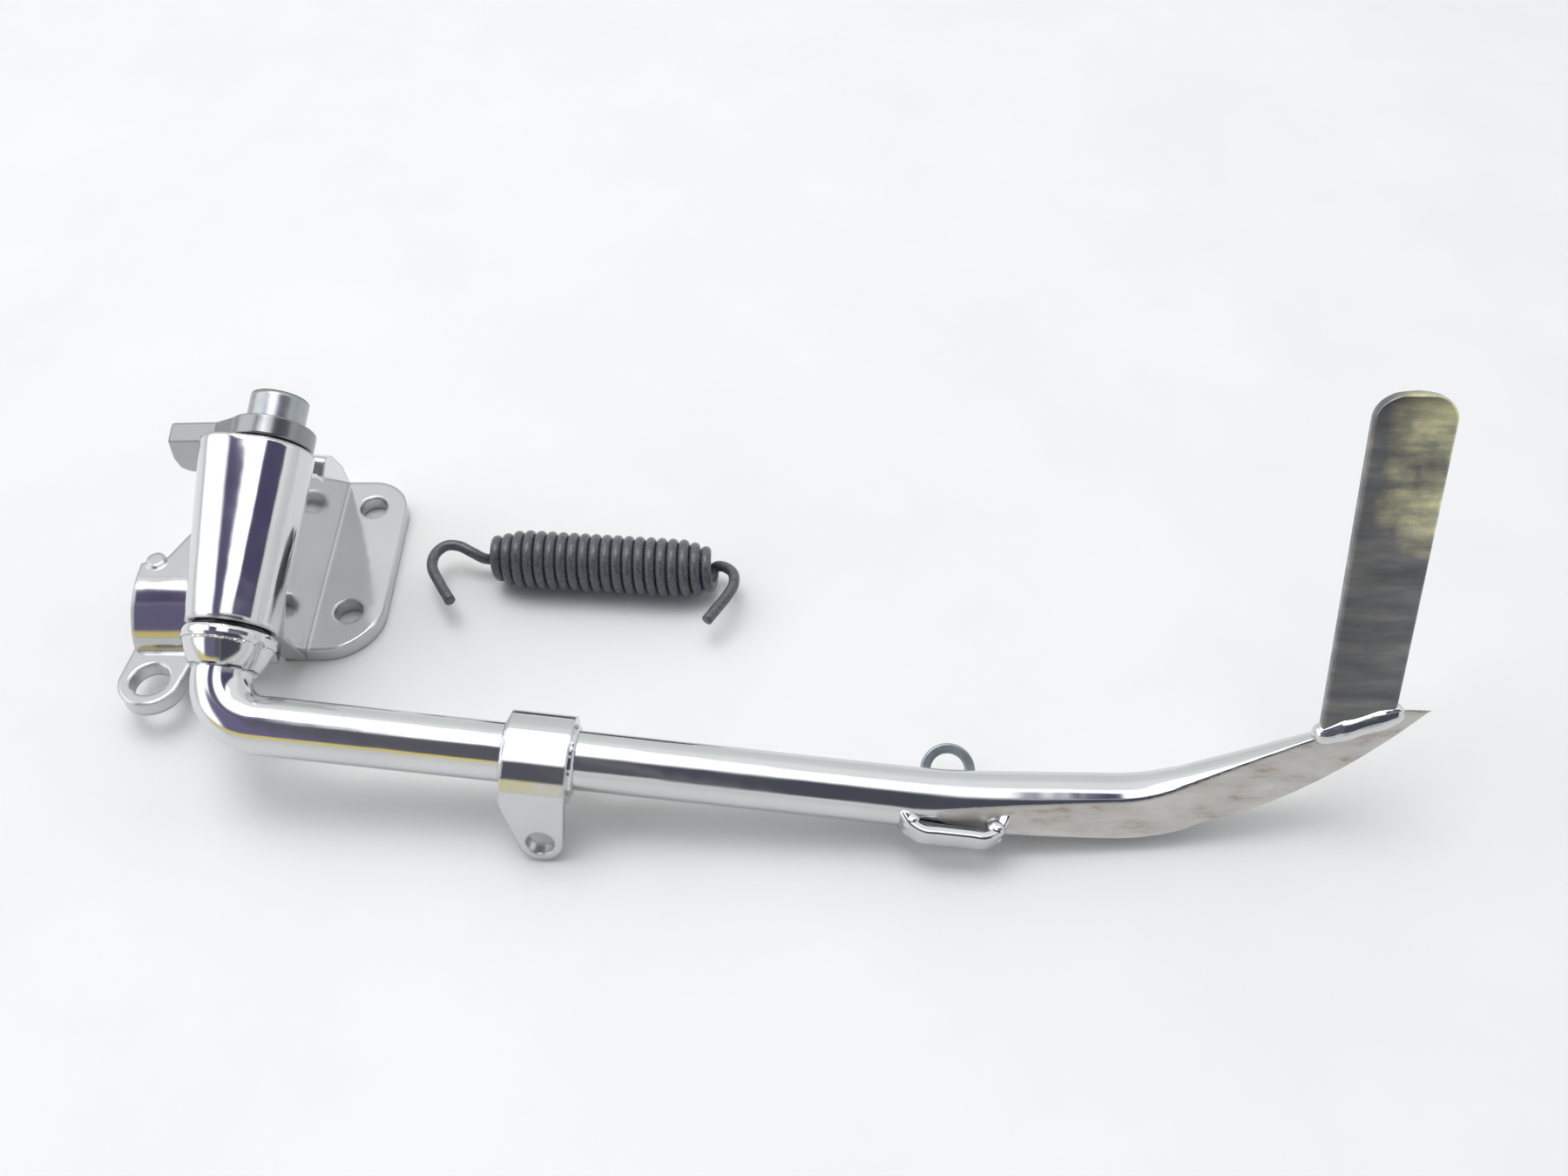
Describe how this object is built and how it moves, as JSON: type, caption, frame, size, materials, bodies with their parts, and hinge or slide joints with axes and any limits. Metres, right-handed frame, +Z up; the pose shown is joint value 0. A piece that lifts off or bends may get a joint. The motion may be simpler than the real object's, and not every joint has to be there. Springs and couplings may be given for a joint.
{
  "type": "motorcycle kickstand",
  "caption": "Chromed motorcycle kickstand: bolt-on bracket with a pivot barrel, bent leg with flat kick arm, stop lever, spring eye, and its unhooked return spring.",
  "frame": {"origin": "midway between the two bolt holes, on the underside of the flange", "axes": "+Z up out of the flange, +X along the leg towards the foot, +Y along the flange away from the elbow"},
  "size_m": [0.4262, 0.163, 0.1357],
  "materials": {
    "chrome_bracket": "bright plated, fine scratches",
    "chrome_leg": "bright plated, worn bare at the foot",
    "bare_steel": "scratched bare steel",
    "zinc": "dull zinc plate",
    "dark_steel": "oiled steel",
    "bronze": "sintered bronze",
    "black_spring": "semi-gloss black"
  },
  "bodies": {
    "bracket": {"mounting_bracket": "chrome_bracket", "frame_strap": "chrome_bracket", "lower_bushing": "bronze", "upper_bushing": "bronze"},
    "leg": {"leg_rod": "chrome_leg", "thrust_collar": "chrome_leg", "lower_thrust_washer": "dark_steel", "upper_thrust_washer": "dark_steel", "leg_stop": "chrome_leg", "stop_roll_pin": "dark_steel", "spring_lug_band": "chrome_leg", "band_weld_inner": "chrome_leg", "band_weld_outer": "chrome_leg", "bumper_loop": "chrome_leg", "loop_weld_inner": "chrome_leg", "loop_weld_outer": "chrome_leg", "eye_ring": "zinc", "eye_ring_weld": "zinc", "kick_arm": "bare_steel", "kick_arm_weld": "chrome_leg"},
    "spring": {"return_spring": "black_spring"}
  },
  "joints": [
    {"name": "leg_swing", "type": "hinge", "parent": "bracket", "child": "leg", "pos_m": [-0.0222, -0.0679, 0.0426], "axis": [-0.1002, -0.9111, -0.3999], "range_deg": [-60, 22]},
    {"name": "spring_lift", "type": "slide", "parent": "bracket", "child": "spring", "axis": [0, 0, 1], "range_m": [0, 0.08]}
  ]
}
